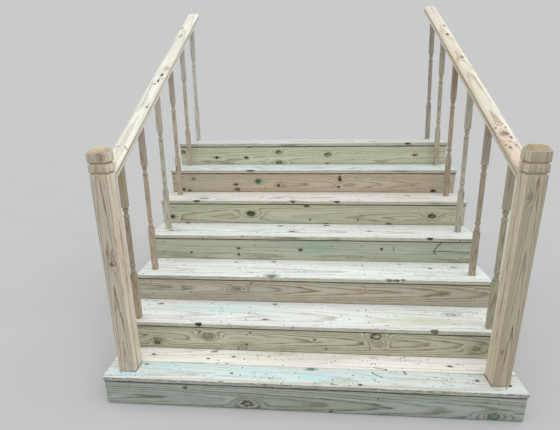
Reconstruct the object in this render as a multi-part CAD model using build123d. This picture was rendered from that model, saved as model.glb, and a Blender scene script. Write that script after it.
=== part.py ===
from build123d import *
import math
import os

# Wooden deck stairs: seven treads on cut stringers, closed risers, two V-groove newel posts
# standing through the bottom tread, moulded handrails and turned balusters.
# Millimetres. +X to the right seen from the front, +Y towards the porch, +Z up.
# The origin is on the back face of the hanger board, at its centre.

# Steps
step_count = 7
rise = 175.0
going = 265.0
stair_width = 2200.0
tread_thickness = 25.4
tread_depth = 285.75
tread_edge_radius = 5.0
nosing = 5.0
riser_thickness = 25.4
riser_end_inset = 5.0
riser_ground_gap = 6.0

# Bottom tread, made of two narrower boards
front_board_depth = 139.7
board_gap = 6.0

# Stringers, cut from wide planks, and what ties them
stringer_count = 7
stringer_thickness = 38.1
stringer_end_inset = 35.0
stringer_plank = 285.75
hanger_height = 235.0
hanger_thickness = 38.1
block_height = 139.7
block_thickness = 38.1

# Newel posts, bolted to the inner sides of the outer stringers
post_size = 88.9
post_height = 1390.0
post_setback = 52.0
post_notch_gap = 4.0
post_chamfer_drop = 24.0
post_chamfer_inset = 17.0
groove_width = 12.0
groove_depth = 8.0
upper_groove_drop = 73.0
lower_groove_drop = 120.0

# Handrails, a little outside the posts' middle; the right one runs inwards towards its top
rail_width = 88.9
rail_thickness = 38.1
rail_outset = 8.0
rail_crown = 4.0
rail_edge_radius = 8.0
rail_groove_radius = 4.5
rail_groove_drop = 17.0
rail_top_at_post = 1260.0
rail_past_porch = 50.0
right_rail_toe_in = 36.0

# Balusters, one on each tread above the bottom one, each further back on its tread than the last;
# their feet stand a little further out than their heads
baluster_size = 33.0
baluster_foot_outset = 17.0
baluster_head_outset = 8.0
first_baluster_setback = 46.0
baluster_step_back = 43.0

# Turned part of a baluster, above its square foot: places are shares of the turned length
foot_block = 288.0
turned_length = 396.0
groove_radius = 10.0
bead_radius = 16.5
bead_length = 20.0
lower_beads = (0.06, 0.16)
upper_beads = (0.84, 0.945)
shaft_places = (0.20, 0.32, 0.44, 0.56, 0.68, 0.78)
shaft_radii = (11.5, 13.5, 15.0, 15.0, 13.0, 10.5)
turning_sides = 12

# Levels and places that follow from the sizes above
ground = -(step_count * rise - tread_thickness - hanger_height / 2)
first_nosing = -((step_count - 1) * going + tread_depth)
riser_back_inset = nosing + riser_thickness
outer_stringer_x = stair_width / 2 - stringer_end_inset - stringer_thickness / 2
post_x = outer_stringer_x - stringer_thickness / 2 - post_size / 2
post_front = first_nosing + post_setback
post_back = post_front + post_size
baluster_spacing = going + baluster_step_back
rail_slope = rise / baluster_spacing
rail_depth = rail_thickness * math.hypot(1, rail_slope)


def tread_top(number):
    return ground + number * rise


def tread_front(number):
    return first_nosing + (number - 1) * going


def stringer_places():
    pitch = 2 * outer_stringer_x / (stringer_count - 1)
    return [-outer_stringer_x + index * pitch for index in range(stringer_count)]


def block(x_low, x_high, y_low, y_high, z_low, z_high):
    """A square-edged piece of timber between two corners."""
    size = (x_high - x_low, y_high - y_low, z_high - z_low)
    middle = ((x_low + x_high) / 2, (y_low + y_high) / 2, (z_low + z_high) / 2)
    return Pos(*middle) * Box(*size)


def tread_board(number, y_low, y_high, rounded_back=False):
    """A tread board with rounded long edges at its front and, if asked, at its back."""
    top = tread_top(number)
    board = block(-stair_width / 2, stair_width / 2, y_low, y_high, top - tread_thickness, top)
    long_edges = board.edges().filter_by(Axis.X).group_by(Axis.Y)
    rounded = list(long_edges[0])
    if rounded_back:
        rounded += list(long_edges[-1])
    return fillet(rounded, tread_edge_radius)


def post_notches():
    """Clearance round both newel posts where they pass through the bottom tread."""
    half = post_size / 2 + post_notch_gap
    y_low, y_high = post_front - post_notch_gap, post_back + post_notch_gap
    return [block(x - half, x + half, y_low, y_high, ground, tread_top(2)) for x in (-post_x, post_x)]


def bottom_tread():
    front = tread_front(1)
    seam = front + front_board_depth
    front_board = tread_board(1, front, seam, rounded_back=True)
    rear_board = tread_board(1, seam + board_gap, front + tread_depth)
    for cut in post_notches():
        front_board -= cut
        rear_board -= cut
    return front_board, rear_board


def riser(number):
    """Closed riser standing on the tread below it, or just off the ground for the first."""
    half = stair_width / 2 - riser_end_inset
    front = tread_front(number) + nosing
    low = ground + riser_ground_gap if number == 1 else tread_top(number - 1)
    return block(-half, half, front, front + riser_thickness, low, tread_top(number) - tread_thickness)


def stringer(x):
    """Saw-tooth stringer: level cuts under the treads, plumb cuts behind the risers."""
    front = tread_front(1) + riser_back_inset
    back = -hanger_thickness
    points = [(front, ground)]
    for number in range(1, step_count + 1):
        seat = tread_top(number) - tread_thickness
        points.append((tread_front(number) + riser_back_inset, seat))
        end = tread_front(number + 1) + riser_back_inset if number < step_count else back
        points.append((end, seat))
    slope = rise / going
    below = stringer_plank * math.hypot(1, slope)
    first_seat = tread_top(1) - tread_thickness
    points.append((back, first_seat + slope * (back - front) - below))
    points.append((front + (ground - first_seat + below) / slope, ground))
    outline = make_face(Polyline(*points, close=True))
    side = Plane(origin=(x - stringer_thickness / 2, 0, 0), x_dir=(0, 1, 0), z_dir=(1, 0, 0))
    return extrude(side * outline, stringer_thickness)


def hanger_board():
    """Ledger plank on the porch face that carries the stringers' upper ends."""
    half = stair_width / 2 - riser_end_inset
    return block(-half, half, -hanger_thickness, 0, -hanger_height / 2, hanger_height / 2)


def post_block(side):
    """Blocking between two stringers, which holds the newel post from behind."""
    places = stringer_places()
    low, high = places[-2] + stringer_thickness / 2, places[-1] - stringer_thickness / 2
    top = tread_top(1) - tread_thickness
    x_low, x_high = (low, high) if side > 0 else (-high, -low)
    return block(x_low, x_high, post_back, post_back + block_thickness, top - block_height, top)


def newel_post(side):
    """Square post with a chamfered head and two V-grooves all round."""
    top = ground + post_height
    half = post_size / 2
    outline = [(half, ground)]
    for drop in (lower_groove_drop, upper_groove_drop):
        middle = top - drop
        outline += [(half, middle - groove_width / 2), (half - groove_depth, middle),
                    (half, middle + groove_width / 2)]
    outline += [(half, top - post_chamfer_drop), (half - post_chamfer_inset, top)]
    centre = Pos(side * post_x, post_front + half, 0)
    squares = [centre * Pos(0, 0, z) * Rectangle(2 * reach, 2 * reach) for reach, z in outline]
    return loft(squares, ruled=True)


def rail_foot(side):
    """Plane across a handrail's lower end: origin in the middle of its underside, normal along it."""
    toe_in = right_rail_toe_in if side > 0 else 0.0
    drift = -toe_in / (rail_past_porch - post_back)
    underside = ground + rail_top_at_post - rail_depth
    origin = (side * (post_x + rail_outset), post_back, underside)
    return Plane(origin=origin, x_dir=(-1, drift, 0), z_dir=(drift, 1, rail_slope))


def rail_profile():
    """Moulded handrail section: crowned top, rounded shoulders, a finger groove down each side."""
    half = rail_width / 2
    shoulder = rail_thickness - rail_crown
    crown = ThreePointArc((-half, shoulder), (0, rail_thickness), (half, shoulder))
    sides = Polyline((half, shoulder), (half, 0), (-half, 0), (-half, shoulder))
    section = make_face(crown + sides)
    corners = section.vertices().group_by(Axis.Y)[-1]
    section = fillet(corners, rail_edge_radius)
    for side in (-1, 1):
        section -= Pos(side * half, rail_thickness - rail_groove_drop) * Circle(rail_groove_radius)
    return section


def handrail(side):
    """Handrail along the flight, cut plumb against the post and against the porch column."""
    foot = rail_foot(side)
    spare = 2 * rail_thickness
    length = (rail_past_porch - post_back) * math.hypot(1, rail_slope) + 2 * spare
    rail = extrude(foot.offset(-spare) * rail_profile(), length)
    reach = stair_width
    return rail & block(-reach, reach, post_back, rail_past_porch, ground, -2 * ground)


def bead(share):
    """Half-round bead of the turning, as (radius, height) pairs."""
    middle = foot_block + share * turned_length
    swell = bead_radius - groove_radius
    pairs = []
    for angle in range(0, 181, 45):
        turn = math.radians(angle)
        pairs.append((groove_radius + swell * math.sin(turn), middle - bead_length / 2 * math.cos(turn)))
    return pairs


def turning():
    """Turned part between the square blocks: two beads, a bellied shaft, two beads."""
    pairs = [(groove_radius, foot_block)]
    for share in lower_beads:
        pairs += bead(share)
    pairs += [(radius, foot_block + share * turned_length)
              for share, radius in zip(shaft_places, shaft_radii)]
    for share in upper_beads:
        pairs += bead(share)
    pairs.append((groove_radius, foot_block + turned_length))
    rings = [Pos(0, 0, height) * RegularPolygon(radius, turning_sides) for radius, height in pairs]
    return loft(rings, ruled=True)


def baluster_blank():
    """Baluster on its own axis, with spare length at the foot and at the head."""
    half = baluster_size / 2
    foot = block(-half, half, -half, half, -half, foot_block)
    head_low = foot_block + turned_length
    head = block(-half, half, -half, half, head_low, rail_top_at_post)
    return foot + turning() + head


def baluster(side, number, blank):
    """A blank stood on its tread under the handrail, cut level below and along the rail above."""
    rail = rail_foot(side)
    y = tread_front(number) + first_baluster_setback + (number - 2) * baluster_step_back
    base = tread_top(number)
    run = y - post_back
    inwards = rail.z_dir.X / rail.z_dir.Y * run - side * (baluster_foot_outset - baluster_head_outset)
    lean = inwards / (rail.origin.Z + rail_slope * run - base)
    x = rail.origin.X + side * baluster_foot_outset
    standing = Plane(origin=(x, y, base), x_dir=(1, 0, -lean), z_dir=(lean, 0, 1)) * blank
    standing = split(standing, Plane(origin=(x, y, base), z_dir=(0, 0, 1)), keep=Keep.TOP)
    return split(standing, Plane(origin=rail.origin, z_dir=rail.y_dir), keep=Keep.BOTTOM)


parts = {}
parts["tread_1_front"], parts["tread_1_rear"] = bottom_tread()
for number in range(2, step_count + 1):
    front = tread_front(number)
    parts[f"tread_{number}"] = tread_board(number, front, front + tread_depth)
for number in range(1, step_count + 1):
    parts[f"riser_{number}"] = riser(number)
for index, x in enumerate(stringer_places(), start=1):
    parts[f"stringer_{index}"] = stringer(x)
parts["hanger_board"] = hanger_board()
blank = baluster_blank()
for name, side in (("left", -1), ("right", 1)):
    parts[f"post_block_{name}"] = post_block(side)
    parts[f"newel_post_{name}"] = newel_post(side)
    parts[f"handrail_{name}"] = handrail(side)
    for number in range(2, step_count + 1):
        parts[f"baluster_{name}_{number}"] = baluster(side, number, blank)

os.makedirs("parts", exist_ok=True)
for name, solid in parts.items():
    export_step(solid, f"parts/{name}.step")
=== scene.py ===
import math
import random

import bmesh
import bpy
from mathutils import Matrix, Vector, noise


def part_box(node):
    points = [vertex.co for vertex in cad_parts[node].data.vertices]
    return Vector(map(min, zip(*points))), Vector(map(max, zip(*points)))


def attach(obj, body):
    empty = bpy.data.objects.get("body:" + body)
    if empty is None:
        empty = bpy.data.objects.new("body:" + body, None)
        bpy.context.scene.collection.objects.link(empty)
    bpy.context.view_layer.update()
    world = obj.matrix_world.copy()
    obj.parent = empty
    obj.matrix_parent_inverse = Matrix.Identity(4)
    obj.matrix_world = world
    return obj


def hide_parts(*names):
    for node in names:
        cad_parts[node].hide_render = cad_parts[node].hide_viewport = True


# Wooden deck stairs: boards, posts, rails and balusters of treated pine, each with its own grain,
# knots and tint. Metres. +X right seen from the front, +Y towards the porch, +Z up.

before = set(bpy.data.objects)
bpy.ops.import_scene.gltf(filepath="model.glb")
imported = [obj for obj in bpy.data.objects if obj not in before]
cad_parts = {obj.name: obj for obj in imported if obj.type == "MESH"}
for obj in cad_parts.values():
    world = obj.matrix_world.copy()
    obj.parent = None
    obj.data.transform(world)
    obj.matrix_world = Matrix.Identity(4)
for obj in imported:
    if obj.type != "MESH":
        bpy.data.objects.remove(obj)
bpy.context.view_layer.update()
MM = 0.001

# Sizes that several pieces share, in millimetres
GROUND = -1082.1
RISE, GOING = 175.0, 265.0
RISER_HEIGHT = 149.6
POST_HALF = 44.45
FIRST_SETBACK, BALUSTER_STEP_BACK = 46, 43
RAIL_SLOPE = RISE / (GOING + BALUSTER_STEP_BACK)


# Node materials

class Net:
    """Node tree of a material or world, with a short call for each kind of node."""

    def __init__(self, owner):
        owner.use_nodes = True
        self.owner = owner
        self.tree = owner.node_tree
        self.tree.nodes.clear()

    def put(self, socket, value):
        if isinstance(value, bpy.types.NodeSocket):
            self.tree.links.new(value, socket)
        else:
            socket.default_value = (*value, 1.0) if socket.type == "RGBA" else value

    def node(self, kind, inputs=(), **settings):
        made = self.tree.nodes.new("ShaderNode" + kind)
        for key, value in settings.items():
            setattr(made, key, value)
        for key, value in dict(inputs).items():
            self.put(made.inputs[key], value)
        return made

    def math(self, operation, *values):
        return self.node("Math", enumerate(values), operation=operation).outputs[0]

    def times(self, first, *others):
        for other in others:
            first = self.math("MULTIPLY", first, other)
        return first

    def vector(self, operation, *values):
        made = self.node("VectorMath", enumerate(values), operation=operation)
        scalar = operation in ("LENGTH", "DOT_PRODUCT", "DISTANCE")
        return made.outputs["Value" if scalar else "Vector"]

    def noise(self, place, detail=2.0, rough=0.5, output="Fac"):
        inputs = {"Vector": place, "Scale": 1.0, "Detail": detail, "Roughness": rough}
        return self.node("TexNoise", inputs).outputs[output]

    def span(self, value, low, high, to_low=0.0, to_high=1.0, kind="SMOOTHSTEP"):
        values = (value, low, high, to_low, to_high)
        return self.node("MapRange", enumerate(values), interpolation_type=kind).outputs[0]

    def mix(self, share, first, second, blend="MIX"):
        inputs = {0: share, 6: first, 7: second}
        made = self.node("Mix", inputs, data_type="RGBA", blend_type=blend)
        return made.outputs[2]

    def here(self):
        """Place on the object, in metres."""
        return self.node("TexCoord").outputs["Object"]

    def surface(self, inputs):
        """The material, with a principled shader that has these inputs."""
        shader = self.node("BsdfPrincipled", inputs)
        self.node("OutputMaterial", {0: shader.outputs[0]})
        return self.owner


KNOT_EYE = (0.24, 0.20, 0.11)
KNOT_BLACK = (0.035, 0.03, 0.02)
# Dark of the specks and grime, and of the painted shade along the risers' joints.
SPECK_AND_SHADE = (0.045, 0.04, 0.03)
TORN = (0.24, 0.21, 0.15)
# Painted shade in the finger grooves of the rails.
GROOVE_SHADE = (0.16, 0.12, 0.07)


class Pine(Net):
    """Pine cut from a log. Each method lays one feature over the colour, and some over the height.

    grain is (origin, along, across, out), the ways along the board, across the face and out of it.
    """

    def __init__(self, name, tone, grain, seed):
        super().__init__(bpy.data.materials.new(name))
        self.light, self.middle, self.late, self.tint = tone
        self.seed = seed
        origin, *ways = grain
        here = self.vector("SUBTRACT", self.here(), origin)
        self.parts = [self.vector("DOT_PRODUCT", here, way) for way in ways]
        self.place = self.node("CombineXYZ", enumerate(self.parts)).outputs[0]
        self.uneven = self.noise(self.stretched(45.0, 90.0, shift=2.0), 2.0, 0.6)
        self.ripple = self.noise(self.stretched(5.0, 60.0, shift=4.0), 2.0, 0.6)
        self.streaks = self.noise(self.stretched(1.2, 22.0, shift=6.0), 4.0, 0.65)
        self.fibre = self.noise(self.stretched(14.0, 420.0, shift=8.0), 3.0, 0.75)
        self.mottle = self.noise(self.stretched(9.0, 40.0, shift=9.0), 4.0, 0.7)
        self.flow, self.swell = self.parts[1], 0.0
        self.nearest, self.inner, self.dark = None, 0.0, 0.0
        self.fillings = []

    def stretched(self, along, across, out=None, shift=0.0):
        """Place scaled each way, so that a noise runs along the grain."""
        scale = (along, across, across if out is None else out)
        start = (self.seed * 7.3 + shift, self.seed * 3.1, shift)
        return self.vector("MULTIPLY_ADD", self.place, scale, start)

    def reach(self, place, ways):
        """Distance from zero, scaled each way."""
        return self.vector("LENGTH", self.vector("MULTIPLY", place, ways))

    def ellipse(self, along, across, half_long, half_high):
        """Distance from a spot, 1 at the rim of its ellipse."""
        centred = self.vector("SUBTRACT", self.place, (along * MM, across * MM, 0.0))
        return self.reach(centred, (1 / (half_long * MM), 1 / (half_high * MM), 0.0))

    def ragged(self, far, source, gain):
        """A distance that a noise makes uneven."""
        return self.math("MULTIPLY_ADD", source, gain, self.math("SUBTRACT", far, gain / 2))

    def paint(self, share, colour, blend="MIX"):
        self.colour = self.mix(share, self.colour, colour, blend)

    def grow_knots(self, knots):
        """How near and dark the knots are, and how the rings flow and swell round them."""
        for along, across, half_long, half_high, darkness, *filling in knots:
            centred = self.vector("SUBTRACT", self.place, (along * MM, across * MM, 0.0))
            ways = Vector((1 / (half_long * MM), 1 / (half_high * MM), 0.5 / (half_high * MM)))
            wide = self.reach(centred, (0.6 * ways.x, ways.y, ways.z))
            fall = self.math("EXPONENT", self.times(wide, wide, -0.3))
            pull = self.math("SUBTRACT", across * MM, self.flow)
            self.flow = self.math("MULTIPLY_ADD", fall, pull, self.flow)
            bulge = (2.4 if half_high > 10 else 1.0) * half_high * MM
            self.swell = self.math("MULTIPLY_ADD", fall, bulge, self.swell)
            far = self.ragged(self.reach(centred, ways), self.uneven, 1.6)
            self.nearest = far if self.nearest is None else self.math("MINIMUM", self.nearest, far)
            self.inner = self.math("MAXIMUM", self.span(far, 1.1, 0.9), self.inner)
            self.dark = self.math("MAXIMUM", self.span(far, 1.9, 1.3, 0.0, darkness), self.dark)
            if filling:
                shift = (0.25 * half_long * MM, -0.35 * half_high * MM, 0.0)
                far = self.reach(self.vector("SUBTRACT", centred, shift), ways)
                self.fillings.append((self.span(far, 0.9, 0.7), filling[0]))

    def cut_log(self, pith, pitch, taper, wander, late_from, contrast):
        """Growth rings in bands and years, with streaks, fibre and mottling."""
        swing = self.noise(self.stretched(0.8, 3.0), 2.0, 0.5, "Color")
        sway = wander * MM
        drift = self.vector("MULTIPLY_ADD", swing, (0.0, 2 * sway, 2 * sway),
                            (0.0, -sway - pith[0], -sway + pith[1]))
        depth = self.math("MULTIPLY_ADD", self.parts[0], taper, self.parts[2])
        section = self.node("CombineXYZ", {1: self.flow, 2: depth}).outputs[0]
        radius = self.vector("LENGTH", self.vector("ADD", section, drift))
        radius = self.math("ADD", radius, self.swell)

        years = self.times(radius, 1000.0 / pitch)
        phase = self.math("MULTIPLY_ADD", self.ripple, 0.9, years)
        turn = self.math("FRACT", phase)
        late = self.times(self.span(turn, late_from, 0.9), self.span(turn, 1.0, 0.94))
        year = self.node("TexWhiteNoise", {"W": self.math("FLOOR", phase)}, noise_dimensions="1D")
        strip = {0: self.times(self.parts[0], 0.7), 1: self.times(radius, 60.0), 2: self.seed * 1.7}
        bands = self.noise(self.node("CombineXYZ", strip).outputs[0], 3.0, 0.6)

        strength = self.span(year.outputs["Value"], 0.1, 1.0, 0.3, 1.15, "LINEAR")
        strength = self.times(strength, contrast, self.span(self.mottle, 0.32, 0.6, 0.45, 1.1))
        self.line = self.times(late, strength)
        self.colour = self.mix(self.span(bands, 0.38, 0.62), self.light, self.middle)
        self.paint(self.span(self.streaks, 0.47, 0.66, 0.0, 0.75), self.tint)
        self.paint(self.line, self.late)
        self.paint(self.span(self.fibre, 0.48, 0.75, 0.0, 0.6 * contrast), self.late)
        self.paint(self.span(self.mottle, 0.55, 0.75, 0.0, 0.35 * contrast), self.late)
        self.height = self.math("MULTIPLY_ADD", late, 0.6, self.times(self.fibre, 0.8))

    def stain(self, along, across, half_long, half_high, patch, share):
        """A ragged patch of colour, through which the late wood still shows."""
        far = self.ellipse(along, across, half_long, half_high)
        far = self.ragged(self.ragged(far, self.streaks, 1.6), self.mottle, 1.8)
        shaded = self.mix(self.times(self.line, 0.4), patch, self.late)
        self.paint(self.span(far, 1.25, 0.1, 0.0, share), shaded)

    def tear_edge(self, edge, torn_share):
        """Weathered front edge, torn and grimy below its rim."""
        below = self.span(self.parts[2], -0.6 * MM, -3.5 * MM)
        below = self.times(below, self.span(self.parts[1], 9 * MM, 4 * MM))
        torn = self.noise(self.stretched(26.0, 50.0, 260.0, shift=14.0), 3.0, 0.7)
        grime = self.noise(self.stretched(3.0, 9.0, 60.0, shift=16.0), 3.0, 0.65)
        rags = self.span(torn, 0.44, 0.56, 0.0, torn_share)
        rags = self.times(rags, self.span(self.parts[2], -18.0 * MM, -7.0 * MM, 0.3, 1.0))
        rough_edge = self.mix(rags, edge, TORN)
        rough_edge = self.mix(self.span(grime, 0.55, 0.68, 0.0, 0.6), rough_edge, SPECK_AND_SHADE)
        self.paint(below, rough_edge)
        self.height = self.math("MULTIPLY_ADD", below, torn, self.height)

    def speckle(self, specks, flecks, swarms):
        """Dark dots of two sizes and dashes, one in a cell, most of them in the swarms."""
        cluster = self.noise(self.stretched(4.0, 13.0, shift=12.0), 3.0, 0.6)
        for swarm in swarms:
            gain = self.span(self.ellipse(*swarm), 1.2, 0.2, 0.0, 0.22)
            cluster = self.math("ADD", cluster, gain)
        layers = ((specks, 22.0, 17.0, 0.26), (specks, 14.0, 11.0, 0.30), (flecks, 75.0, 13.0, 0.20))
        for share, cell_long, cell_high, reach in layers:
            if share:
                ways = (1 / (cell_long * MM), 1 / (cell_high * MM), 1 / (cell_high * MM))
                spot = self.vector("MULTIPLY", self.place, ways)
                cells = self.node("TexVoronoi", {"Vector": spot, "Scale": 1.0})
                pick = self.node("SeparateColor", {0: cells.outputs["Color"]}).outputs[0]
                least = self.span(cluster, 0.42, 0.66, 1.0, 1.0 - share)
                size = self.math("SQRT", self.span(pick, least, 1.001, kind="LINEAR"))
                size = self.times(size, reach, self.span(self.uneven, 0.3, 0.6, 0.5, 1.2))
                dot = self.math("LESS_THAN", cells.outputs["Distance"], size)
                strength = self.span(pick, least, 1.001, 0.25, 0.75)
                self.paint(self.times(dot, strength), SPECK_AND_SHADE)

    def draw_knots(self):
        """Halo, eye, filling and rim of the knots."""
        near, dark = self.nearest, self.dark
        rings = self.math("SINE", self.times(near, 11.0))
        eye = self.mix(self.span(rings, -0.4, 0.9, 0.0, 0.6), KNOT_EYE, self.late)
        eye = self.mix(self.span(near, 0.42, 0.15), eye, KNOT_BLACK)
        halo = self.times(self.span(near, 3.0, 1.3, 0.0, 0.85), self.span(rings, 0.25, 0.8))
        self.paint(halo, self.late)
        self.paint(self.times(self.inner, self.span(dark, 0.15, 0.75, 0.25, 0.85)), eye)
        hole = self.span(self.ripple, 0.42, 0.58, 0.95, 0.45)
        self.paint(self.times(self.inner, hole, self.span(dark, 0.6, 1.0)), KNOT_BLACK)
        for disc, own in self.fillings:
            self.paint(self.times(disc, self.span(rings, 0.9, -0.2, 0.35, 0.95)), own)
        rim = self.times(self.span(near, 0.7, 0.92), self.span(near, 1.32, 1.05))
        self.paint(self.times(rim, self.span(dark, 0.0, 0.6, 0.2, 0.85)), KNOT_BLACK)
        self.height = self.math("SUBTRACT", self.height, self.times(self.inner, 0.7))

    def paint_joint_shade(self, level, reach, share):
        """Painted shade: a dark line along a joint with a neighbouring board, where that board shades this
        one.
        """
        near = self.math("ABSOLUTE", self.math("SUBTRACT", self.parts[1], level * MM))
        near = self.ragged(near, self.mottle, 9.0 * MM)
        self.paint(self.span(near, reach * MM, 0.5 * reach * MM, 0.0, share), SPECK_AND_SHADE)

    def crack(self, first_along, first_across, last_along, last_across, width):
        """A dark crack or gap from one spot to another."""
        start = Vector((first_along * MM, first_across * MM, 0.0))
        way = Vector((last_along * MM, last_across * MM, 0.0)) - start
        flat = self.vector("MULTIPLY", self.vector("SUBTRACT", self.place, start), (1.0, 1.0, 0.0))
        share = self.math("DIVIDE", self.vector("DOT_PRODUCT", flat, way), way.length_squared)
        share = self.node("Clamp", {0: share}).outputs[0]
        foot = self.node("VectorMath", {0: way, "Scale": share}, operation="SCALE").outputs[0]
        gap = self.math("MULTIPLY_ADD", self.uneven, -3.0 * MM, self.vector("DISTANCE", flat, foot))
        opening = self.span(gap, (width - 1.2) * MM, (width - 2.4) * MM, 0.0, 0.9)
        self.paint(opening, KNOT_BLACK)
        self.height = self.math("SUBTRACT", self.height, opening)

    def paint_side_light(self, direction, reach, gain):
        """Painted light: the face at one side is made paler, as if more light fell on it."""
        aside = self.times(self.parts[1], direction)
        beside = self.span(aside, (reach - 1.6) * MM, (reach - 0.4) * MM)
        self.paint(beside, (gain, gain, gain), "MULTIPLY")

    def paint_groove_shade(self, reach, drop, radius):
        """Painted shade in a groove along both sides, as if the groove lay in its own shadow."""
        inside = self.math("ABSOLUTE", self.parts[1])
        inside = self.span(inside, reach * MM, (reach - 0.5 * radius) * MM)
        level = self.math("ABSOLUTE", self.math("ADD", self.parts[2], drop * MM))
        level = self.span(level, 1.1 * radius * MM, 0.8 * radius * MM, 0.0, 0.6)
        self.paint(self.times(inside, level), GROOVE_SHADE)

    def finish(self, rough, bump):
        dull = self.span(self.streaks, 0.3, 0.7, rough - 0.06, rough + 0.08, "LINEAR")
        raised = self.node("Bump", {"Strength": bump, "Distance": 0.0012, "Height": self.height})
        return self.surface({"Base Color": self.colour, "Roughness": dull, "Specular IOR Level": 0.3,
                             "Normal": raised.outputs[0]})


def wood(node, tone, grain, seed, knots=(), cracks=(), stains=(), pith=(0.02, 0.09), pitch=7.0,
         taper=0.0, wander=24.0, contrast=0.6, specks=0.0, flecks=0.0, swarms=(), edge=None,
         torn_share=0.4, joints=(), rough=0.68, bump=0.3, lit_side=None, late_from=0.42, groove=None):
    """Pine with curved growth rings, which flow round its knots. Lengths on its face are millimetres.

    tone gives the light, middle and late wood and a tint that comes in streaks.
    pith is how far the log's middle lies across and below the face, in metres, and taper how far
    it sinks per metre, which draws the rings out into points. pitch is the width of a ring,
    late_from where in it the late wood starts, and wander how far the rings sway.
    knots are (along, across, half length, half height, darkness), and a colour if one fills them.
    specks and flecks are shares of dark dots and dashes, which gather in swarms.
    edge is the colour of a weathered front edge, torn_share how torn it is.
    Stains and cracks hold what the method that draws them takes, and so do the joint lines, the pale side
    and the groove, which are painted shade along joints, painted light on one side and painted shade in a
    groove.
    """
    pine = Pine(node + "_wood", tone, grain, seed)
    pine.grow_knots(knots)
    pine.cut_log(pith, pitch, taper, wander, late_from, contrast)
    for one in stains:
        pine.stain(*one)
    if edge:
        pine.tear_edge(edge, torn_share)
    pine.speckle(specks, flecks, swarms)
    if knots:
        pine.draw_knots()
    for one in joints:
        pine.paint_joint_shade(*one)
    for one in cracks:
        pine.crack(*one)
    if lit_side:
        pine.paint_side_light(*lit_side)
    if groove:
        pine.paint_groove_shade(*groove)
    return pine.finish(rough, bump)


# Meshes

def solid_mesh(name, verts, faces):
    """Mesh of a closed body, its faces turned outwards."""
    mesh = bpy.data.meshes.new(name)
    mesh.from_pydata(verts, [], faces)
    work = bmesh.new()
    work.from_mesh(mesh)
    bmesh.ops.recalc_face_normals(work, faces=work.faces)
    work.to_mesh(mesh)
    work.free()
    return mesh


def placed(name, data):
    made = bpy.data.objects.new(name, data)
    bpy.context.scene.collection.objects.link(made)
    return made


def piece(name, verts, faces, material, slot, nodes=(), sharp=32.0):
    """Closed body with its finish, which stands for the nodes; edges over sharp degrees stay crisp."""
    mesh = solid_mesh(name, verts, faces)
    mesh.polygons.foreach_set("use_smooth", [True] * len(mesh.polygons))
    mesh.set_sharp_from_angle(angle=math.radians(sharp))
    mesh.materials.append(material)
    made = placed(name, mesh)
    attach(made, "root")
    if nodes:
        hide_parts(*nodes)
    return made


def rectangle(left, front, right, back):
    return [(left, front), (right, front), (right, back), (left, back)]


def skin(rings):
    """Points and faces of a body with a closed ring of points at each station, capped at both ends."""
    count = len(rings[0])
    verts = [point for ring in rings for point in ring]
    faces = [tuple(range(count))]
    for index in range(len(rings) - 1):
        low, high = index * count, (index + 1) * count
        for place in range(count):
            after = (place + 1) % count
            faces.append((low + place, low + after, high + after, high + place))
    faces.append(tuple(range(len(verts) - count, len(verts))))
    return verts, faces


def rounded(corners, radii, steps, sides):
    """Closed outline through the corners, each rounded by its radius, with extra points on the sides."""
    outline = []
    count = len(corners)
    for index, (corner, radius) in enumerate(zip(corners, radii)):
        corner = Vector(corner)
        before = (Vector(corners[index - 1]) - corner).normalized()
        after = (Vector(corners[(index + 1) % count]) - corner).normalized()
        centre = corner + (before + after) * radius
        for step in range(steps + 1):
            turn = math.pi / 2 * step / steps
            outline.append(centre - after * radius * math.cos(turn) - before * radius * math.sin(turn))
        start = outline[-1]
        follow = Vector(corners[(index + 1) % count])
        end = follow - after * radii[(index + 1) % count]
        outline += [start.lerp(end, part / sides) for part in range(1, sides)]
    return outline


def wobble(x, z, size, seed, pace):
    """Smooth noise up to size."""
    return size * abs(noise.noise(Vector((x * pace + seed * 11.7, seed * 5.3, z * pace))))


def stations(low, high, pitch, lip=1.2 * MM):
    """Places along a board and how far its outline is drawn in there, to ease both ends."""
    count = max(2, round((high - low - 2 * lip) / pitch))
    inner = [(low + lip + (high - low - 2 * lip) * index / count, 0.0) for index in range(count + 1)]
    return [(low, lip), *inner, (high, lip)]


def board(node, material, slot, seed, front=1.5, back=1.5, wane=0.0, bites=(), pitch=0.02):
    """A sawn board with its length along X, rounded at front and back, and worn at its front edge.

    wane is how deep the wear goes, in millimetres, most at the bottom of the edge. bites are (x,
    half length, depth) out of the edge, with the depth in millimetres.
    """
    low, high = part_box(node)
    radii = [front * MM, front * MM, back * MM, back * MM]
    worn_reach = 12 * MM
    rings = []
    for x, lip in stations(low.x, high.x, pitch):
        corners = [(low.y + lip, low.z + lip), (low.y + lip, high.z - lip),
                   (high.y - lip, high.z - lip), (high.y - lip, low.z + lip)]
        ring = []
        for y, z in rounded(corners, radii, 3, 4):
            depth = wobble(x, z, wane * MM, seed, 14.0) + wobble(x, z, 0.4 * wane * MM, seed, 60.0)
            for middle, half, bite in bites:
                depth += bite * MM * math.exp(-((x - middle) / half) ** 2)
            near = max(0.0, 1.0 - (y - low.y) / worn_reach)
            lower = (high.z - z) / (high.z - low.z)
            ring.append((x, y + depth * near * (0.25 + 0.75 * lower), z))
        rings.append(ring)
    return piece(node + "_board", *skin(rings), material, slot, [node])


# Tones as light, middle and late wood and a streaky tint

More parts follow.
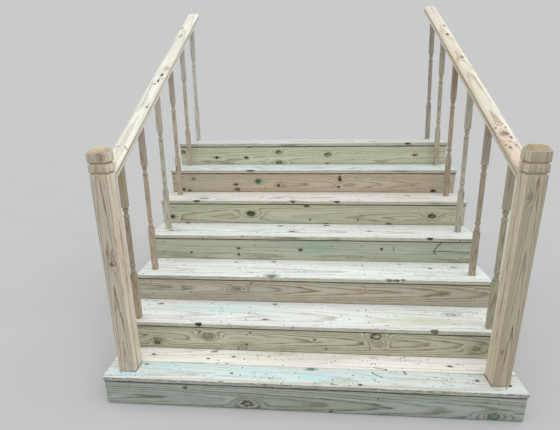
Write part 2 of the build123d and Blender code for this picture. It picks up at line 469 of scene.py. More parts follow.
OLIVE = ((0.65, 0.64, 0.50), (0.56, 0.53, 0.41), (0.24, 0.21, 0.12), (0.52, 0.54, 0.42))
TAN = ((0.58, 0.55, 0.44), (0.50, 0.46, 0.36), (0.25, 0.19, 0.12), (0.52, 0.43, 0.35))
GREEN = ((0.60, 0.62, 0.50), (0.52, 0.54, 0.42), (0.26, 0.25, 0.17), (0.46, 0.54, 0.45))
GREY_GREEN = ((0.47, 0.50, 0.44), (0.39, 0.42, 0.36), (0.18, 0.19, 0.14), (0.39, 0.45, 0.41))
PINK_TAN = ((0.62, 0.55, 0.42), (0.57, 0.48, 0.35), (0.32, 0.23, 0.14), (0.62, 0.48, 0.36))
YELLOW = ((0.68, 0.67, 0.52), (0.59, 0.58, 0.43), (0.28, 0.25, 0.15), (0.56, 0.60, 0.45))
WHITISH = ((0.90, 0.93, 0.92), (0.82, 0.84, 0.81), (0.50, 0.47, 0.39), (0.78, 0.85, 0.83))
CREAM = ((0.96, 0.95, 0.91), (0.91, 0.89, 0.84), (0.56, 0.49, 0.38), (0.93, 0.90, 0.82))
WASHED = ((0.80, 0.84, 0.82), (0.72, 0.77, 0.74), (0.46, 0.44, 0.37), (0.68, 0.79, 0.77))
MINT = ((0.80, 0.88, 0.84), (0.74, 0.80, 0.76), (0.44, 0.46, 0.40), (0.70, 0.82, 0.78))
POST_TAN = ((0.69, 0.63, 0.51), (0.60, 0.53, 0.42), (0.26, 0.17, 0.10), (0.58, 0.56, 0.46))
POST_GREY = ((0.56, 0.50, 0.38), (0.48, 0.41, 0.30), (0.20, 0.14, 0.09), (0.49, 0.46, 0.35))
FRAMING = ((0.60, 0.56, 0.42), (0.50, 0.46, 0.32), (0.32, 0.26, 0.16), (0.48, 0.50, 0.36))

MINT_STAIN = (0.61, 0.81, 0.81)
BLUE_STAIN = (0.50, 0.80, 0.85)
TEAL_STAIN = (0.16, 0.40, 0.33)
KNOT_TEAL = (0.10, 0.28, 0.23)
KNOT_PALE = (0.60, 0.58, 0.45)
KNOT_GREY = (0.34, 0.37, 0.30)
KNOT_BROWN = (0.25, 0.18, 0.09)
KNOT_OLIVE = (0.40, 0.39, 0.24)
PINK_STAIN = (0.66, 0.42, 0.33)
GREY_STAIN = (0.50, 0.52, 0.43)
BLUE_GREY = (0.42, 0.50, 0.46)
CUT_END = (0.50, 0.38, 0.21)
PALE_CUT = (0.80, 0.66, 0.46)
GREY_WHITE = (0.74, 0.78, 0.76)
TREAD_EDGE = (0.60, 0.59, 0.48)
FRONT_EDGE = (0.52, 0.54, 0.48)
WORN = (0.62, 0.58, 0.50)
YELLOW_STAIN = (0.66, 0.66, 0.48)
HEAD_BROWN = (0.52, 0.40, 0.27)
STRING_PINK = (0.75, 0.20, 0.30)


# Treads

def tread_grain(node):
    low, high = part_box(node)
    return ((0.0, low.y, high.z), (1, 0, 0), (0, 1, 0), (0, 0, 1))


def shade(tone, factor):
    return [[factor * part for part in colour] for colour in tone]


# The factors on the upper treads' tones darken them partly as painted shade, as if a roof over the top of
# the flight shaded them, and partly to suit their own tints.
TREADS = {
    "tread_1_rear": dict(
        tone=CREAM, specks=0.6, contrast=0.7, edge=None,
        swarms=[(-40, 70, 300, 80), (340, 60, 110, 60), (570, 85, 80, 45)],
        cracks=[(-560, 98, -530, 118, 3.2), (360, 14, 430, 2, 2.6)],
        stains=[(370, 98, 26, 14, PINK_STAIN, 0.7), (-40, 70, 330, 90, WORN, 0.4),
                (-546, 106, 26, 13, KNOT_BROWN, 0.7)],
        knots=[(-896, 60, 9, 6, 1.0), (-568, 39, 8, 5, 1.0), (-424, 63, 9, 6, 1.0), (775, 49, 13, 6, 0.9)]),
    "tread_2": dict(
        tone=WHITISH, bites=[(-0.634, 0.02, 2.0)],
        swarms=[(-570, 120, 120, 80), (550, 165, 130, 60), (890, 190, 120, 45), (560, 10, 220, 16)],
        stains=[(640, 92, 300, 50, YELLOW_STAIN, 0.9), (-560, 170, 420, 70, MINT_STAIN, 0.6),
                (420, 20, 500, 20, WORN, 0.35), (-780, 48, 260, 18, WORN, 0.35),
                (-400, 12, 900, 12, WORN, 0.4)],
        knots=[(-634, 2, 16, 8, 1.0), (702, 0, 19, 9, 0.8), (-253, 65, 15, 6, 1.0), (-935, 212, 14, 9, 0.6),
               (-207, 240, 13, 8, 0.6), (842, 172, 26, 12, 0.25)]),
    "tread_3": dict(
        tone=WHITISH, bites=[(0.54, 0.04, 2.5)],
        swarms=[(-150, 60, 150, 60), (-420, 100, 80, 60), (340, 200, 150, 45), (920, 195, 80, 35)],
        cracks=[(647, 74, 790, 77, 2.3), (440, 92, 600, 88, 1.9)],
        stains=[(-234, 22, 54, 34, TEAL_STAIN, 1.0), (-800, 215, 260, 22, WORN, 0.5),
                (300, 215, 300, 18, WORN, 0.35)],
        knots=[(782, 176, 10, 6, 1.0), (-236, 236, 13, 8, 0.6), (931, 196, 14, 8, 0.5), (490, 2, 15, 6, 0.8),
               (532, -3, 22, 7, 0.7), (574, 5, 11, 5, 0.8), (-234, 18, 24, 15, 0.5, KNOT_TEAL),
               (-490, 220, 14, 5, 0.7)]),
    "tread_4": dict(
        tone=shade(WHITISH, 0.96), flecks=0.6, contrast=1.0,
        swarms=[(-60, 150, 300, 80), (620, 200, 160, 50)],
        stains=[(-700, 60, 200, 30, MINT_STAIN, 0.5), (-180, 100, 200, 30, MINT_STAIN, 0.4),
                (480, 130, 380, 60, YELLOW_STAIN, 0.3)],
        knots=[(414, 123, 15, 7, 1.0), (-119, 102, 18, 9, 1.0), (791, 0, 17, 7, 1.0), (-975, 96, 15, 8, 1.0),
               (-207, 215, 16, 9, 0.7), (125, 238, 20, 9, 1.0), (-452, 0, 9, 4, 0.6),
               (-905, 262, 12, 9, 1.0)]),
    "tread_5": dict(
        tone=shade(CREAM, 0.84), flecks=0.7, contrast=1.1,
        swarms=[(-500, 200, 300, 50), (150, 210, 260, 50), (-900, 120, 120, 40)],
        knots=[(-790, 60, 30, 16, 0.5), (-119, 4, 18, 8, 0.9), (-829, 2, 22, 6, 0.9), (195, 2, 18, 6, 0.9),
               (-240, 90, 26, 14, 0.3), (730, 170, 20, 12, 0.5)]),
    "tread_6": dict(
        tone=shade(MINT, 0.95), flecks=0.7, contrast=1.3,
        swarms=[(-700, 150, 250, 60), (700, 200, 250, 60)],
        knots=[(-420, 120, 20, 10, 0.4), (320, 60, 18, 9, 0.4), (-464, 1, 26, 6, 0.9)]),
    "tread_7": dict(
        tone=shade(WHITISH, 0.85), flecks=0.7, contrast=1.3,
        knots=[(520, 90, 18, 9, 0.4), (785, -3, 22, 8, 1.0)]),
}
for seed, (node, look) in enumerate(TREADS.items(), start=1):
    bites = look.pop("bites", ())
    look = {"specks": 0.4, "flecks": 0.4, "contrast": 0.85, "edge": TREAD_EDGE, **look}
    material = wood(node, grain=tread_grain(node), seed=seed, pith=(0.10, 0.11), pitch=11.0,
                    taper=0.02, rough=0.74, bump=0.5, **look)
    board(node, material, "tread_board", seed, front=5.0, wane=1.2, bites=bites)


def cut_notch(made, side):
    """Notch in the bottom tread's front board, open to the back, with a gap all round the post."""
    low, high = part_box("newel_post_" + side)
    gap, height = 4 * MM, 80 * MM
    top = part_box("tread_1_front")[1].z + 20 * MM
    outline = rectangle(low.x - gap, low.y - gap, high.x + gap, 0.0)
    rings = [[(x, y, z) for x, y in outline] for z in (top - height, top)]
    cutter = placed("notch", solid_mesh("notch", *skin(rings)))
    cut = made.modifiers.new("notch", "BOOLEAN")
    cut.operation, cut.object, cut.solver = "DIFFERENCE", cutter, "EXACT"
    bpy.context.view_layer.objects.active = made
    with bpy.context.temp_override(object=made, active_object=made):
        bpy.ops.object.modifier_apply(modifier=cut.name)
    bpy.data.objects.remove(cutter)


def bottom_front_tread():
    """Front board of the bottom tread, worn along its lower front edge, with the post notches."""
    node, seed = "tread_1_front", 21
    stains = [(-760, 104, 280, 44, MINT_STAIN, 0.95), (-985, 38, 150, 18, BLUE_STAIN, 0.8),
              (-300, 84, 330, 56, MINT_STAIN, 0.75), (40, 62, 170, 36, BLUE_STAIN, 0.75),
              (300, 92, 240, 34, MINT_STAIN, 0.6), (17, 127, 40, 13, TEAL_STAIN, 0.9),
              (760, 70, 300, 46, GREY_WHITE, 0.6), (0, 12, 1300, 13, WORN, 0.7)]
    cracks = [(511, 146, 525, 117, 5.0), (346, 114, 396, 84, 2.8), (936, 46, 936, 140, 3.2),
              (-936, 46, -936, 140, 3.2), (1030, 54, 1037, 62, 5.5)]
    knots = [(17, 127, 17, 8, 0.6, KNOT_TEAL), (274, 20, 10, 6, 0.9), (-410, 70, 7, 5, 1.0),
             (880, 86, 10, 6, 1.0), (-899, 117, 9, 5, 0.8), (128, 19, 7, 4, 0.8)]
    swarms = [(680, 70, 150, 75), (330, 90, 120, 50)]
    bites = [(-0.66, 0.05, 1.5), (-0.25, 0.09, 2.0), (0.22, 0.12, 2.0)]
    material = wood(node, WASHED, tread_grain(node), seed, stains=stains, cracks=cracks,
                    knots=knots, specks=0.6, flecks=0.5, swarms=swarms, edge=FRONT_EDGE, torn_share=1.0,
                    pith=(0.05, 0.10), pitch=11.0, taper=0.02, contrast=0.8, rough=0.74, bump=0.5)
    made = board(node, material, "tread_board", seed, front=5.0, back=4.0, wane=5.0,
                 bites=bites, pitch=0.008)
    for side in ("left", "right"):
        cut_notch(made, side)


bottom_front_tread()


# Risers

def riser_base(node):
    """Height from which a riser's marks are measured, its foot where it is whole."""
    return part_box(node)[1].z - RISER_HEIGHT * MM


def riser_grain(node):
    low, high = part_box(node)
    return ((0.0, low.y, riser_base(node)), (1, 0, 0), (0, 0, 1), (0, -1, 0))


RISERS = {
    # riser_1's dark grey-green tone is partly its own colour and partly painted shade, as if dark ground
    # before it gave it less light.
    "riser_1": dict(
        tone=shade(GREY_GREEN, 0.96), pith=(0.055, 0.06), pitch=11.0, taper=0.03, wander=16.0,
        stains=[(614, 80, 200, 26, BLUE_GREY, 0.6), (-1082, 52, 16, 8, KNOT_TEAL, 0.6)],
        knots=[(-319, 38, 25, 15, 0.8, KNOT_GREY), (949, 28, 27, 15, 0.45, KNOT_TEAL),
               (-650, 124, 10, 7, 0.9), (127, 12, 9, 4, 1.0)]),
    "riser_2": dict(
        tone=shade(OLIVE, 0.97), pith=(0.075, 0.05), pitch=9.0, taper=0.035, wander=18.0,
        knots=[(-888, 52, 22, 15, 0.3), (-896, 34, 17, 8, 1.0), (-585, 90, 26, 18, 0.3),
               (383, 123, 27, 16, 0.9, KNOT_PALE), (938, 62, 18, 12, 0.4), (-386, 16, 26, 20, 0.1),
               (404, 72, 16, 12, 0.0), (-358, 45, 6, 5, 0.9), (-333, 122, 5, 4, 0.9), (39, 88, 6, 5, 0.8),
               (106, 29, 5, 4, 0.9)]),
    "riser_3": dict(
        tone=TAN, pith=(0.085, 0.05), pitch=9.0, taper=0.03, wander=18.0,
        stains=[(-904, 41, 200, 26, GREY_STAIN, 0.6), (335, 87, 90, 14, PINK_STAIN, 0.6),
                (-300, 60, 120, 40, GREY_STAIN, 0.5)],
        knots=[(-454, 89, 22, 12, 0.25), (-764, 91, 24, 7, 0.0), (-359, 128, 6, 5, 0.8)]),
    "riser_4": dict(
        tone=shade(GREEN, 0.92), pith=(0.03, 0.08), pitch=10.0, contrast=0.7,
        stains=[(60, 92, 180, 40, TEAL_STAIN, 0.35)],
        cracks=[(866, 146, 821, 82, 3.8), (821, 82, 1054, 74, 2.6), (821, 82, 838, 58, 2.6),
                (562, 114, 563, 76, 2.2)],
        knots=[(-56, 76, 11, 8, 0.9), (-481, 81, 8, 7, 1.0), (-482, 38, 8, 7, 1.0), (-814, 46, 8, 6, 0.9),
               (483, 90, 8, 7, 1.0), (-484, 148, 16, 5, 0.9)]),
    "riser_5": dict(
        tone=shade(YELLOW, 0.92), pith=(0.05, 0.05), pitch=13.0, taper=-0.03, wander=26.0, contrast=0.75,
        knots=[(-429, 76, 27, 18, 1.0), (869, 68, 24, 14, 0.95, KNOT_BROWN), (-1023, 46, 17, 11, 1.0),
               (-21, 138, 18, 10, 0.9), (571, 5, 18, 7, 0.9), (123, 2, 14, 5, 0.8), (5, 33, 6, 5, 0.9),
               (350, 30, 5, 4, 0.9), (-358, 40, 5, 4, 0.9)]),
    "riser_6": dict(
        tone=PINK_TAN, pith=(0.06, 0.06), pitch=9.0, taper=0.03, wander=18.0, contrast=0.8,
        stains=[(-395, 88, 40, 20, TEAL_STAIN, 1.0), (1010, 70, 110, 90, GREY_STAIN, 0.7),
                (-860, 70, 320, 70, GREY_STAIN, 0.7)],
        knots=[(-922, 104, 14, 9, 0.5), (-1011, 18, 15, 10, 0.9), (-959, 10, 12, 8, 0.9),
               (-582, 61, 13, 8, 1.0), (-573, 20, 18, 11, 0.8, KNOT_BROWN), (-244, 54, 13, 9, 1.0),
               (231, 107, 12, 18, 1.0), (223, 42, 10, 7, 0.9), (941, 13, 16, 10, 1.0),
               (-405, 85, 17, 13, 0.9, KNOT_TEAL)]),
    "riser_7": dict(
        tone=shade(YELLOW, 1.06), pith=(0.02, 0.06), pitch=13.0, taper=-0.02, wander=24.0, contrast=0.7,
        knots=[(-1082, 106, 21, 13, 0.95, KNOT_OLIVE), (-787, 58, 14, 9, 1.0), (-536, 57, 15, 9, 1.0),
               (-263, 102, 21, 12, 0.95, KNOT_OLIVE), (-257, 14, 22, 12, 0.9, KNOT_OLIVE),
               (146, 80, 24, 13, 0.95, KNOT_OLIVE), (146, 3, 16, 6, 1.0), (851, 74, 14, 9, 0.8),
               (-505, 147, 18, 7, 0.9)]),
}
for seed, (node, look) in enumerate(RISERS.items(), start=31):
    look.setdefault("contrast", 1.1)
    # The dark lines at the foot and the top of each riser are painted shade, of the gap at its foot and of
    # the nosing of the tread above.
    material = wood(node, grain=riser_grain(node), seed=seed, flecks=0.12,
                    joints=[(0.0, 5.0, 0.7), (RISER_HEIGHT, 10.0, 0.9)], **look)
    board(node, material, "riser_board", seed, front=1.5, wane=0.3, pitch=0.05)


# Framing behind the steps

def eased(node, material):
    """The node's own form with its edges slightly rounded."""
    bevel = 1.2 * MM
    work = bmesh.new()
    work.from_mesh(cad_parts[node].data)
    bmesh.ops.remove_doubles(work, verts=work.verts, dist=1e-5)
    bmesh.ops.dissolve_limit(work, angle_limit=0.01, verts=work.verts, edges=work.edges)
    edges = [edge for edge in work.edges if edge.calc_face_angle(0.0) > 0.5]
    bmesh.ops.bevel(work, geom=edges, offset=bevel, segments=2, profile=0.5, affect="EDGES")
    verts = [vert.co.copy() for vert in work.verts]
    work.verts.index_update()
    faces = [[vert.index for vert in face.verts] for face in work.faces]
    work.free()
    piece(node + "_plank", verts, faces, material, "framing", [node])


step_slope = Vector((0.0, GOING, RISE)).normalized()
for number in range(1, 8):
    node = f"stringer_{number}"
    low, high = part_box(node)
    up = Vector((0.0, -step_slope.z, step_slope.y))
    grain = ((high.x, low.y, low.z), step_slope, up, (1, 0, 0))
    eased(node, wood(node, FRAMING, grain, 50 + number, pith=(0.1, 0.08)))
for number, node in enumerate(("hanger_board", "post_block_left", "post_block_right")):
    low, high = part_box(node)
    grain = ((0.0, low.y, low.z), (1, 0, 0), (0, 0, 1), (0, -1, 0))
    eased(node, wood(node, FRAMING, grain, 60 + number, pith=(0.1, 0.08)))


# Newel posts

POST_GROOVES = (120.0, 73.0)
GROOVE_HALF, GROOVE_DEPTH = 6.0, 8.0
CHAMFER_DROP, CHAMFER_INSET = 24.0, 17.0


def post_levels(low, high):
    """Heights up a post and how far it is drawn in there."""
    levels = [(low, 1.5 * MM), (low + 1.5 * MM, 0.0)]
    shaft = high - (POST_GROOVES[0] + GROOVE_HALF) * MM - low
    levels += [(low + shaft * index / 40, 0.0) for index in range(1, 40)]
    lip = GROOVE_HALF + 1.2
    groove = [(-lip, 0.0), (-GROOVE_HALF, 0.5), (0.0, GROOVE_DEPTH), (GROOVE_HALF, 0.5), (lip, 0.0)]
    for drop in POST_GROOVES:
        levels += [(high + (rise - drop) * MM, inset * MM) for rise, inset in groove]
    chamfer = high - CHAMFER_DROP * MM
    return levels + [(chamfer - 1.0 * MM, 0.0), (chamfer + 0.7 * MM, 1.0 * MM), (high, CHAMFER_INSET * MM)]


def newel_post(side, tone, seed, pith, pitch, knots, stains=(), contrast=1.0):
    node = "newel_post_" + side
    low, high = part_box(node)
    x, y = (low.x + high.x) / 2, (low.y + high.y) / 2
    half = (high.x - low.x) / 2
    rings = []
    for z, inset in post_levels(low.z, high.z):
        reach = half - inset
        corners = rectangle(x - reach, y - reach, x + reach, y + reach)
        ease = min(2.2 * MM, reach / 4)
        rings.append([(px, py, z) for px, py in rounded(corners, [ease] * 4, 3, 3)])
    grain = ((x, low.y, low.z), (0, 0, 1), (1, 0, 0), (0, -1, 0))
    # The inner face of each post is made paler as painted light, as if more light fell on it than on its
    # front.
    inner_side = -1 if side == "right" else 1
    material = wood(node, tone, grain, seed, knots=knots, stains=stains, pith=pith, pitch=pitch,
                    taper=0.018, wander=7.0, contrast=contrast, rough=0.66, bump=0.4, late_from=0.6,
                    lit_side=(inner_side, POST_HALF, 1.4))
    piece(node + "_timber", *skin(rings), material, "newel_post", [node], sharp=28.0)


newel_post("left", POST_TAN, 71, (-0.004, 0.030), 6.5,
           knots=[(812, 1, 9, 6, 0.7), (844, 12, 18, 8, 0.1), (1350, 26, 16, 10, 0.1)],
           stains=[(1392, 0, 24, 300, PALE_CUT, 0.9), (1325, 0, 70, 60, HEAD_BROWN, 0.6)])
newel_post("right", POST_GREY, 72, (0.008, 0.026), 5.5,
           knots=[(1170, -20, 12, 8, 0.25), (377, -22, 8, 4, 0.4)],
           stains=[(1392, 0, 26, 300, CUT_END, 0.9), (655, 42, 13, 8, STRING_PINK, 1.0),
                   (648, 30, 5, 14, STRING_PINK, 0.6)],
           contrast=0.85)


# Handrails

RAIL_HALF, RAIL_THICK, RAIL_CROWN = 44.45, 38.1, 4.0
RAIL_SHOULDER, SHOULDER_DROP = 8.0, 12.2
RAIL_GROOVE, RAIL_GROOVE_DROP = 4.5, 17.0
RAIL_MIDDLE, RAIL_TOP_AT_POST, RIGHT_TOE_IN = 990.45, 1260.0, 36.0


def arc(middle, level, radius, first, last):
    """Points (across, up) of an arc between two angles, 15 degrees apart."""
    step = 15 if first < last else -15
    turns = [math.radians(turn) for turn in range(first, last + step, step)]
    return [(middle + radius * math.cos(turn), level + radius * math.sin(turn)) for turn in turns]


def mirrored(points):
    return [(-across, up) for across, up in reversed(points)]


def rail_outline():
    """Section of a rail: crowned, with rounded shoulders and a finger groove down each side."""
    half, thick, ease = RAIL_HALF * MM, RAIL_THICK * MM, 1.5 * MM
    flat = half - RAIL_SHOULDER * MM
    shoulder = arc(flat, thick - SHOULDER_DROP * MM, RAIL_SHOULDER * MM, 0, 90)
    crown = [flat * (1 - part / 6) for part in range(1, 12)]
    crown = [(across, thick - RAIL_CROWN * MM * (across / half) ** 2) for across in crown]
    groove = arc(half, thick - RAIL_GROOVE_DROP * MM, RAIL_GROOVE * MM, 270, 90)
    flank = [(half - ease, 0.0), (half, ease), *groove]
    return shoulder + crown + mirrored(shoulder) + mirrored(flank) + flank


def handrail(side, tone, seed, knots, cracks=(), stains=(), contrast=0.6):
    """Rail along the slope, its ends cut plumb. The right one runs inwards towards its top."""
    node = "handrail_" + side
    low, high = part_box(node)
    sign = 1 if side == "right" else -1
    toe_in = RIGHT_TOE_IN * MM if side == "right" else 0.0
    drift = -toe_in / (high.y - low.y)
    along = Vector((drift, 1.0, RAIL_SLOPE)).normalized()
    across = Vector((1.0, -drift, 0.0)).normalized()
    up = across.cross(along).normalized()
    thick = RAIL_THICK * MM
    underside = (GROUND + RAIL_TOP_AT_POST) * MM - thick * math.hypot(1, RAIL_SLOPE)
    foot = Vector((sign * RAIL_MIDDLE * MM, low.y, underside))
    lines = []
    for u, w in rail_outline():
        start = foot + across * u + up * w
        lines.append([start + along * ((end - start.y) / along.y) for end in (low.y, high.y)])
    count = 60
    rings = [[first.lerp(last, index / count) for first, last in lines] for index in range(count + 1)]
    grain = (foot + up * thick, along, across, up)
    # The groove entry paints shade into the finger grooves down both sides.
    material = wood(node, tone, grain, seed, knots=knots, cracks=cracks, stains=stains,
                    pith=(0.0, 0.06), pitch=8.0, taper=0.015, wander=14.0, contrast=contrast, rough=0.55,
                    groove=(RAIL_HALF, RAIL_GROOVE_DROP, RAIL_GROOVE))
    piece(node + "_rail", *skin(rings), material, "handrail", [node], sharp=40.0)


RAIL_LEFT = ((0.92, 0.90, 0.81), (0.86, 0.84, 0.74), (0.48, 0.40, 0.28), (0.80, 0.80, 0.71))
RAIL_RIGHT = ((0.85, 0.80, 0.70), (0.75, 0.69, 0.57), (0.46, 0.34, 0.22), (0.72, 0.66, 0.50))
RAIL_PINK = (0.78, 0.58, 0.46)
RAIL_GREY = (0.62, 0.61, 0.54)
RAIL_CREAM = (0.95, 0.92, 0.80)
RAIL_SHADE = (0.66, 0.58, 0.44)
handrail("left", RAIL_LEFT, 81,
         knots=[(1010, 14, 16, 6, 1.0), (930, 11, 14, 5, 1.0), (888, -2, 9, 5, 0.8), (621, 27, 12, 5, 0.5),
                (1098, 22, 24, 12, 0.1), (1777, -28, 20, 5, 0.5), (1627, -4, 18, 6, 0.4)],
         cracks=[(1000, 16, 915, 8, 2.0), (905, -18, 790, -14, 2.2), (780, -14, 700, -12, 1.9),
                 (690, -10, 560, -16, 1.8), (228, -24, 238, -12, 2.8), (236, 22, 212, 42, 2.2)],
         stains=[(480, -34, 420, 13, RAIL_GREY, 0.8), (700, 0, 130, 14, RAIL_GREY, 0.6),
                 (1500, 10, 260, 60, RAIL_GREY, 0.3), (1098, 24, 44, 16, RAIL_PINK, 0.5)])
handrail("right", RAIL_RIGHT, 82,
         knots=[(324, -4, 15, 12, 0.5), (375, -33, 5, 4, 0.8), (379, 15, 5, 4, 0.8), (292, 14, 12, 4, 0.8),
                (428, -5, 4, 3, 0.6), (318, -26, 12, 7, 0.2), (230, -31, 6, 4, 0.7), (227, 14, 6, 3, 0.7),
                (208, -18, 9, 5, 0.6), (256, -4, 4, 3, 0.6), (250, 26, 4, 3, 0.6), (410, 12, 4, 3, 0.6),
                (1170, 10, 16, 8, 0.6), (1525, 3, 18, 8, 0.9), (1681, 19, 12, 5, 0.7)],
         stains=[(180, -14, 260, 26, RAIL_PINK, 0.9), (900, -38, 1000, 14, RAIL_SHADE, 0.8),
                 (1000, 32, 1000, 16, RAIL_CREAM, 0.8), (1230, 6, 90, 16, RAIL_PINK, 0.7)],
         contrast=1.0)


# Balusters

FOOT, TURNED = 288.0, 396.0
BALUSTER_HALF = 16.5
UNTURNED = 30.0


def ring_bead(middle, length, low, high, steps=6):
    """Half-round ring of a turning, as (place, radius) pairs."""
    turns = [math.pi * step / steps for step in range(steps + 1)]
    return [(middle - length / 2 * math.cos(turn), low + (high - low) * math.sin(turn)) for turn in turns]


def cup(start, length, lip, neck, steps=6):
    """Cup that narrows from its lip to its neck."""
    shares = [step / steps for step in range(steps + 1)]
    falls = [(1 + math.cos(math.pi * share)) / 2 for share in shares]
    return [(start + length * share, neck + (lip - neck) * fall) for share, fall in zip(shares, falls)]


def turning():
    """Turned part between the square blocks, the same at both ends of its shaft."""
    end = [(0.0, 14.5), (1.5, 10.8), (5.0, 10.8), (6.5, 15.0), *cup(7.5, 25.0, 16.3, 10.6), (37.5, 10.6)]
    end += [*ring_bead(52.0, 25.0, 11.6, 16.0), (67.0, 12.6)]
    shaft = [(72.0 + 252.0 * step / 8, 13.6 + 1.2 * math.sin(math.pi * step / 10)) for step in range(9)]
    return end + shaft + [(TURNED - place, radius) for place, radius in reversed(end)]


def baluster_profile():
    """Heights up a baluster and the radius it is turned to there; UNTURNED is past its corners."""
    shoulder = [(5.0, UNTURNED), (4.0, 22.5), (2.8, 20.0), (1.4, 17.5)]
    head = FOOT + TURNED
    profile = [(height, UNTURNED) for height in (0.0, 40.0, 120.0, 200.0)]
    profile += [(FOOT - drop, radius) for drop, radius in shoulder]
    profile += [(FOOT + place, radius) for place, radius in turning()]
    profile += [(head + drop, radius) for drop, radius in reversed(shoulder)]
    return profile + [(head + height, UNTURNED) for height in (90.0, 180.0, 240.0)]


def baluster(side, number, tone, seed, stains):
    """Turned baluster: square ends whose corners are rounded down to the turning, cut along the rail."""
    node = f"baluster_{side}_{number}"
    low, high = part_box(node)
    half = BALUSTER_HALF * MM
    corner = 1.38 * half
    ends = (low.x + half, high.x - half)
    foot_x, head_x = ends if side == "left" else reversed(ends)
    base = Vector((foot_x, (low.y + high.y) / 2, low.z))
    lean = head_x - foot_x
    tall = high.z - low.z
    profile = baluster_profile()
    turns = 32
    rings = []
    for level, radius in profile:
        ring = []
        z = level * MM
        for index in range(turns):
            angle = 2 * math.pi * (index + 0.5) / turns
            cosine, sine = math.cos(angle), math.sin(angle)
            reach = min(half / max(abs(cosine), abs(sine)), radius * MM, corner)
            ring.append(base + Vector((reach * cosine + lean * z / tall, reach * sine, z)))
        rings.append(ring)
    last = []
    below = profile[-1][0] * MM
    for point in rings[-1]:
        under = tall + RAIL_SLOPE * (point.y - base.y - half)
        last.append(Vector((point.x + lean * (under - below) / tall, point.y, base.z + under)))
    rings.append(last)
    grain = ((base.x, low.y, low.z), (0, 0, 1), (1, 0, 0), (0, -1, 0))
    material = wood(node, tone, grain, seed, stains=stains, pith=(0.0, 0.03), pitch=4.5, taper=0.03,
                    wander=10.0, contrast=0.85, rough=0.6)
    piece(node + "_spindle", *skin(rings), material, "baluster", [node], sharp=35.0)


SPINDLE_GAINS = ((1.14, 1.14, 1.13), (0.94, 0.93, 0.92), (0.50, 0.42, 0.38), (1.03, 0.93, 0.88))


def spindle_tones(colour):
    """Tones round one colour: a paler and a darker wood, brown late wood and a warmer tint."""
    return [[gain * part for gain, part in zip(gains, colour)] for gains in SPINDLE_GAINS]


# Colour of each baluster and of its head, from the bottom of the flight up. The darker heads are partly
# painted shadow of the rail above them, and the right-hand balusters are partly painted shade of their
# shaded side, besides their own tints.
SPINDLES = {
    "left": [((0.45, 0.38, 0.27), (0.45, 0.38, 0.27)), ((0.52, 0.42, 0.31), (0.42, 0.36, 0.31)),
             ((0.53, 0.52, 0.41), (0.62, 0.50, 0.44)), ((0.53, 0.45, 0.34), (0.43, 0.35, 0.32)),
             ((0.55, 0.47, 0.38), (0.59, 0.56, 0.52)), ((0.60, 0.57, 0.50), (0.48, 0.49, 0.46))],
    "right": [((0.46, 0.44, 0.32), (0.46, 0.42, 0.33)), ((0.45, 0.38, 0.29), (0.36, 0.31, 0.27)),
              ((0.50, 0.48, 0.39), (0.43, 0.43, 0.33)), ((0.45, 0.37, 0.275), (0.25, 0.17, 0.12)),
              ((0.48, 0.44, 0.34), (0.36, 0.31, 0.25)), ((0.41, 0.37, 0.32), (0.38, 0.35, 0.31))],
}
for side, colours in SPINDLES.items():
    for number, (colour, head) in enumerate(colours, start=2):
        seed = 90 + number + (20 if side == "right" else 0)
        baluster(side, number, spindle_tones(colour), seed, stains=[(860, 0, 220, 60, head, 0.8)])


# Screws

SCREW_PROFILE = [(4.3, -0.2), (4.2, 0.45), (3.4, 0.75), (2.1, 0.75), (1.5, 0.2)]
SCREW_RECESS = 2.5


# Dark coated steel, its darkness partly painted shade of the countersunk holes the heads sit in.
def steel(name):
    net = Net(bpy.data.materials.new(name))
    wear = net.noise(net.vector("MULTIPLY", net.here(), (300.0, 300.0, 300.0)), 2.0)
    colour = net.mix(wear, (0.10, 0.085, 0.06), (0.17, 0.15, 0.11))
    return net.surface({"Base Color": colour, "Roughness": 0.45, "Metallic": 0.6})


def screws(name, places, out, seed):
    """Countersunk screw heads standing just proud of a face, each turned its own way."""
    rng = random.Random(seed)
    out = Vector(out)
    side = out.orthogonal().normalized()
    other = out.cross(side)
    verts, faces = [], []
    turns = 16
    for place in places:
        spin = rng.random()
        rings = []
        for radius, rise in SCREW_PROFILE:
            ring = []
            for index in range(turns):
                angle = 2 * math.pi * (index + spin) / turns
                reach = radius * (0.72 if radius < SCREW_RECESS and index % 4 < 2 else 1.0)
                spoke = side * math.cos(angle) + other * math.sin(angle)
                ring.append(Vector(place) + out * rise * MM + spoke * reach * MM)
            rings.append(ring)
        head_verts, head_faces = skin(rings)
        faces += [tuple(len(verts) + vert for vert in face) for face in head_faces]
        verts += head_verts
    return piece(name, verts, faces, steel(name + "_steel"), "framing")


RISER_SCREWS = {
    1: [(-962, 112), (965, 111), (364, 103), (127, 11)],
    2: [(-1008, 112), (1008, 118), (-352, 110), (-352, 38), (352, 40)],
    3: [(-1010, 123), (-1006, 43), (1008, 120), (1008, 40), (352, 112), (-350, 40)],
    4: [(-1011, 120), (-1008, 45), (-811, 48), (-480, 80), (-482, 39), (-364, 107), (-366, 41), (350, 111),
        (479, 92), (353, 35), (999, 121), (999, 33)],
    5: [(1007, 116), (1005, 40), (-1008, 118), (-352, 112), (352, 40)],
    6: [(-1008, 118), (1008, 116), (-352, 40), (352, 112)],
    7: [(-1008, 116), (1008, 118), (1008, 40), (-352, 40), (352, 38)],
}
riser_screws = []
for number, spots in RISER_SCREWS.items():
    node = f"riser_{number}"
    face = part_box(node)[0].y
    riser_screws += [(x * MM, face, riser_base(node) + z * MM) for x, z in spots]
screws("riser_screws", riser_screws, (0, -1, 0), 5)


def on_tread(node, x, y):
    low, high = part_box(node)
    return (x * MM, low.y + y * MM, high.z)


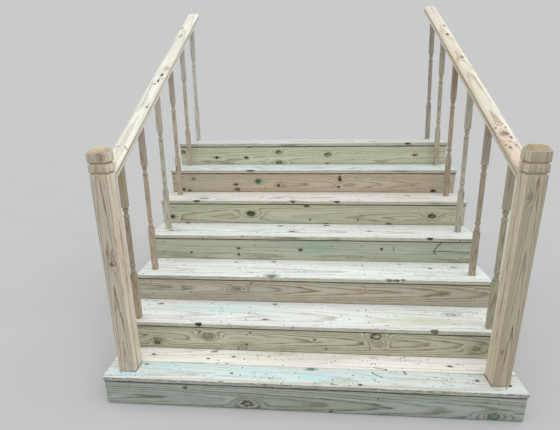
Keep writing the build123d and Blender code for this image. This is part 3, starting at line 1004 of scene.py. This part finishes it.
BOTTOM_SCREWS = [(-1012, 39), (1004, 38), (-360, 57), (-358, 119), (-359, 189), (352, 60), (350, 120),
                 (354, 190), (-1006, 210), (1002, 206)]
tread_screws = [on_tread("tread_1_front", x, y) for x, y in BOTTOM_SCREWS]
jitter = random.Random(8)
for number in range(2, 8):
    setback = FIRST_SETBACK + BALUSTER_STEP_BACK * (number - 2)
    for x in (-1008, -361, 352, 1004):
        for y in (64, 133, 198):
            if abs(x) < 1000 or abs(y - setback) > 32:
                across = x + jitter.uniform(-5, 5)
                tread_screws.append(on_tread(f"tread_{number}", across, y + jitter.uniform(-7, 7)))
screws("tread_screws", tread_screws, (0, 0, 1), 6)


# Camera at the photograph's place

FOCAL_PIXELS, PHOTO_WIDTH = 394.93, 560.0
EYE = Vector((0.0125, -3.5706, 0.5331))
PITCH, YAW, ROLL = (math.radians(angle) for angle in (17.039, -4.705, -0.899))
ahead = Vector((math.sin(YAW) * math.cos(PITCH), math.cos(YAW) * math.cos(PITCH), -math.sin(PITCH)))
level = Vector((math.cos(YAW), -math.sin(YAW), 0.0))
above = level.cross(ahead)
right = level * math.cos(ROLL) + above * math.sin(ROLL)
upward = above * math.cos(ROLL) - level * math.sin(ROLL)
lens = bpy.data.cameras.new("photo_camera")
lens.sensor_width = 36.0
lens.lens = lens.sensor_width * FOCAL_PIXELS / PHOTO_WIDTH
lens.clip_start, lens.clip_end = 0.05, 60.0
camera = placed("photo_camera", lens)
camera.matrix_world = Matrix.Translation(EYE) @ Matrix((right, upward, -ahead)).transposed().to_4x4()
bpy.context.scene.camera = camera


# Floor, world and lamps

def pale_floor():
    size = 30.0
    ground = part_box("newel_post_left")[0].z - 0.5 * MM
    mesh = bpy.data.meshes.new("floor")
    mesh.from_pydata([(x, y, ground) for x, y in rectangle(-size, -size, size, size)], [], [(0, 1, 2, 3)])
    floor = placed("floor", mesh)
    net = Net(bpy.data.materials.new("floor_pale"))
    grain = net.noise(net.vector("MULTIPLY", net.here(), (2.0, 2.0, 2.0)), 3.0)
    colour = net.mix(grain, (0.51, 0.51, 0.51), (0.55, 0.55, 0.55))
    mesh.materials.append(net.surface({"Base Color": colour, "Roughness": 0.9}))


def studio_world():
    """Even light from all round, and a pale backdrop for the camera and for reflections."""
    world = bpy.data.worlds.new("studio")
    bpy.context.scene.world = world
    net = Net(world)
    paths = net.node("LightPath").outputs
    glass = net.math("MAXIMUM", paths["Is Glossy Ray"], paths["Is Transmission Ray"])
    seen = net.math("MAXIMUM", paths["Is Camera Ray"], glass)
    dim = net.node("Background", {"Color": (0.95, 0.98, 1.0), "Strength": 0.50})
    pale = net.node("Background", {"Color": (0.585, 0.597, 0.598), "Strength": 1.0})
    either = net.node("MixShader", {0: seen, 1: dim.outputs[0], 2: pale.outputs[0]})
    net.node("OutputWorld", {0: either.outputs[0]})


def soft_sun(name, source, spread, strength):
    """Light from one direction, as wide as a patch of overcast sky."""
    light = bpy.data.lights.new(name, "SUN")
    light.angle, light.energy = math.radians(spread), strength
    made = placed(name, light)
    made.rotation_mode = "QUATERNION"
    made.rotation_quaternion = (-Vector(source)).to_track_quat("-Z", "Y")


pale_floor()
studio_world()
soft_sun("overhead", (0.35, -0.27, 1.0), 80.0, 1.6)
soft_sun("side", (-0.9, -0.2, 0.8), 80.0, 0.6)

bpy.context.scene.view_settings.view_transform = "Standard"
